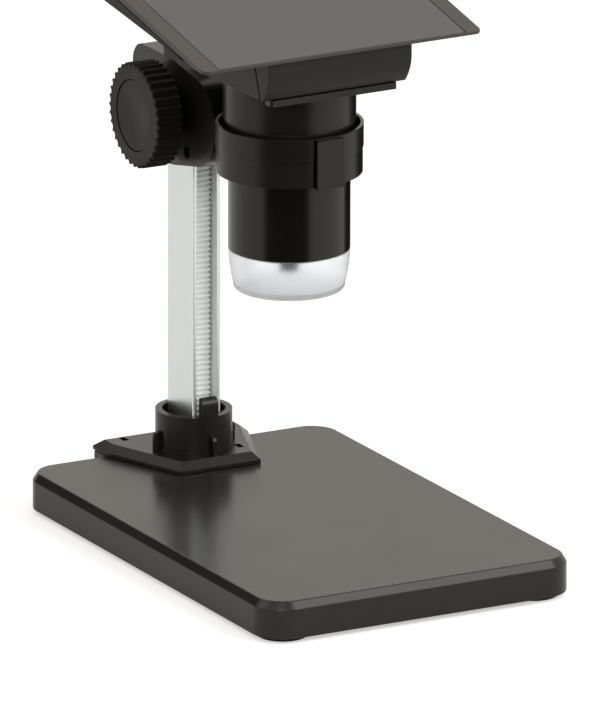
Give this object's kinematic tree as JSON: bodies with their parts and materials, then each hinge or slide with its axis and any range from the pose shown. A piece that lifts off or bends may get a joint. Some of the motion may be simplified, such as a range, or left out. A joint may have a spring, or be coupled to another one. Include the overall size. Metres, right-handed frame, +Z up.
{
  "type": "digital microscope",
  "caption": "Desk digital microscope with a tilted screen, a round barrel in a ring clamp and a knob-driven rack-and-pinion carriage on a column with a flat base.",
  "frame": {"origin": "on the table, under the middle of the outline that the base and the column foot make together", "axes": "+Z up, -Y towards the user who looks at the screen, +X to that user's right"},
  "size_m": [0.129, 0.203, 0.2208],
  "materials": {
    "stand_black": "satin black, fine grain",
    "cover_black": "matt black",
    "ballast": "plain steel plate, painted",
    "rubber": "matt black rubber",
    "steel": "plated steel screws and shaft",
    "aluminium": "satin silver anodised",
    "rack_nylon": "light grey moulded teeth",
    "nylon": "natural nylon",
    "brass": "plain brass",
    "knob_black": "matt black with moulded flutes",
    "barrel_black": "polished black",
    "head_black": "matt black",
    "frosted": "frosted clear plastic",
    "lens_glass": "polished lens",
    "screen_glass": "clear screen window, the display behind it off",
    "display": "dark display",
    "circuit": "green circuit board",
    "foil": "foil pouch of the battery"
  },
  "bodies": {
    "stand": {"base_shell": "stand_black", "base_cover": "cover_black", "ballast_plate": "ballast", "rubber_foot_front_left": "rubber", "rubber_foot_front_right": "rubber", "rubber_foot_rear_left": "rubber", "rubber_foot_rear_right": "rubber", "base_screw_front_left": "steel", "base_screw_front_right": "steel", "base_screw_rear_left": "steel", "base_screw_rear_right": "steel", "column_foot": "stand_black", "column": "aluminium", "rack": "rack_nylon", "column_cap": "cover_black", "column_bolt": "steel", "foot_screw_left": "steel", "foot_screw_right": "steel"},
    "carriage": {"carriage_left": "stand_black", "carriage_right": "stand_black", "ring_clamp": "cover_black", "guide_liner": "nylon", "carriage_screw_front": "steel", "carriage_screw_rear_upper": "steel", "carriage_screw_rear_lower": "steel", "shaft_bush_left": "brass", "shaft_bush_right": "brass"},
    "knobs": {"pinion_shaft": "steel", "pinion": "brass", "knob_left": "knob_black", "knob_right": "knob_black", "knob_cap_left": "knob_black", "knob_cap_right": "knob_black", "knob_screw_left": "steel", "knob_screw_right": "steel"},
    "microscope": {"neck": "barrel_black", "head_housing": "head_black", "front_cover": "head_black", "top_bezel": "head_black", "screen_glass": "screen_glass", "screen_panel": "display", "main_board": "circuit", "sensor_board": "circuit", "battery": "foil", "usb_port": "steel", "card_slot": "steel", "neck_screw_front": "steel", "neck_screw_rear": "steel"},
    "focus_sleeve": {"focus_sleeve": "barrel_black", "light_cap": "frosted", "light_board": "circuit", "lens_holder": "cover_black", "objective_lens": "lens_glass"},
    "button_1": {"button_1": "head_black"},
    "button_2": {"button_2": "head_black"},
    "button_3": {"button_3": "head_black"},
    "button_4": {"button_4": "head_black"},
    "button_5": {"button_5": "head_black"},
    "button_6": {"button_6": "head_black"}
  },
  "joints": [
    {"name": "carriage_slide", "type": "slide", "parent": "stand", "child": "carriage", "axis": [0, 0, 1], "range_m": [-0.084, 0.028]},
    {"name": "knob_turn", "type": "hinge", "parent": "carriage", "child": "knobs", "pos_m": [0, 0.06495, 0.1553], "axis": [1, 0, 0], "range_deg": [-230, 688]},
    {"name": "microscope_turn", "type": "hinge", "parent": "carriage", "child": "microscope", "pos_m": [0, 0.0028, 0.1558], "axis": [0, 0, 1], "range_deg": [-35, 31]},
    {"name": "focus_sleeve_turn", "type": "hinge", "parent": "microscope", "child": "focus_sleeve", "pos_m": [0, 0.0028, 0.1558], "axis": [0, 0, 1], "range_deg": [-135, 135]},
    {"name": "button_1_press", "type": "slide", "parent": "microscope", "child": "button_1", "axis": [-0.0076, 0.2299, -0.9732], "range_m": [0, 0.0006], "stiffness_N_per_m": 600, "springref_m": -0.0008},
    {"name": "button_2_press", "type": "slide", "parent": "microscope", "child": "button_2", "axis": [-0.0076, 0.2299, -0.9732], "range_m": [0, 0.0006], "stiffness_N_per_m": 600, "springref_m": -0.0008},
    {"name": "button_3_press", "type": "slide", "parent": "microscope", "child": "button_3", "axis": [-0.0076, 0.2299, -0.9732], "range_m": [0, 0.0006], "stiffness_N_per_m": 600, "springref_m": -0.0008},
    {"name": "button_4_press", "type": "slide", "parent": "microscope", "child": "button_4", "axis": [-0.0076, 0.2299, -0.9732], "range_m": [0, 0.0006], "stiffness_N_per_m": 600, "springref_m": -0.0008},
    {"name": "button_5_press", "type": "slide", "parent": "microscope", "child": "button_5", "axis": [-0.0076, 0.2299, -0.9732], "range_m": [0, 0.0006], "stiffness_N_per_m": 600, "springref_m": -0.0008},
    {"name": "button_6_press", "type": "slide", "parent": "microscope", "child": "button_6", "axis": [-0.0076, 0.2299, -0.9732], "range_m": [0, 0.0006], "stiffness_N_per_m": 600, "springref_m": -0.0008}
  ],
  "couplings": [
    {"joint": "knob_turn", "follows": "carriage_slide", "rad_per_m": -142.8}
  ]
}
